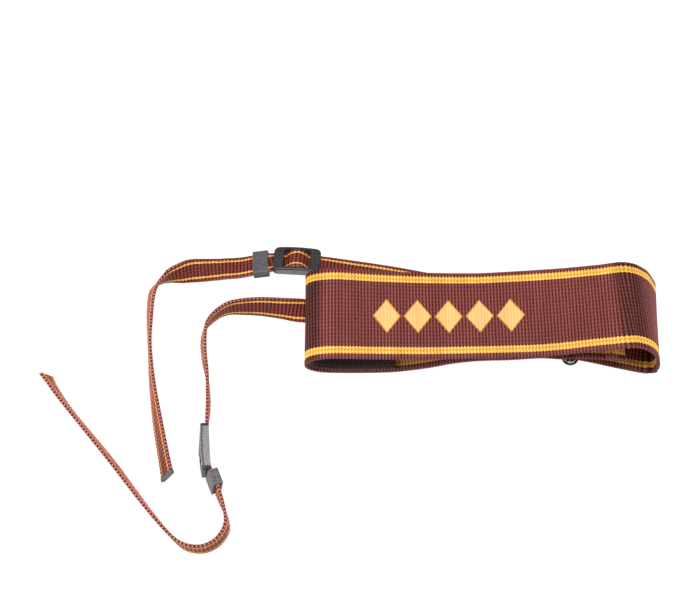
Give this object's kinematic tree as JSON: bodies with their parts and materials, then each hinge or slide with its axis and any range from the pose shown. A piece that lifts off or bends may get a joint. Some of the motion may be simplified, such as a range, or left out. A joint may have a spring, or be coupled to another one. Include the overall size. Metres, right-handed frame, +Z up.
{
  "type": "camera neck strap",
  "caption": "Neck strap for a camera, lying folded: a wide ribbed neck band with a backing pad, and two narrow straps, each with a slide buckle and a keeper.",
  "frame": {"origin": "under the middle of the whole strap as it lies, on the surface that it rests on", "axes": "+Z up from the surface; +X towards the neck band's folded end; +Y away from the viewer of the picture, towards the band's far edge"},
  "size_m": [0.2443, 0.1271, 0.0248],
  "materials": {
    "band_webbing": "burgundy ribbed webbing with two yellow stripes",
    "strap_webbing": "burgundy ribbed webbing with two fine yellow stripes",
    "backing": "black backing",
    "stud": "glossy black",
    "black_plastic": "matt dark grey-black"
  },
  "bodies": {
    "root": {"neck_band": "band_webbing", "band_backing": "backing", "press_stud": "stud", "strap_a": "strap_webbing", "buckle_a": "black_plastic", "keeper_a": "black_plastic", "tip_a": "black_plastic", "strap_b": "strap_webbing", "buckle_b": "black_plastic", "keeper_b": "black_plastic"}
  },
  "joints": []
}
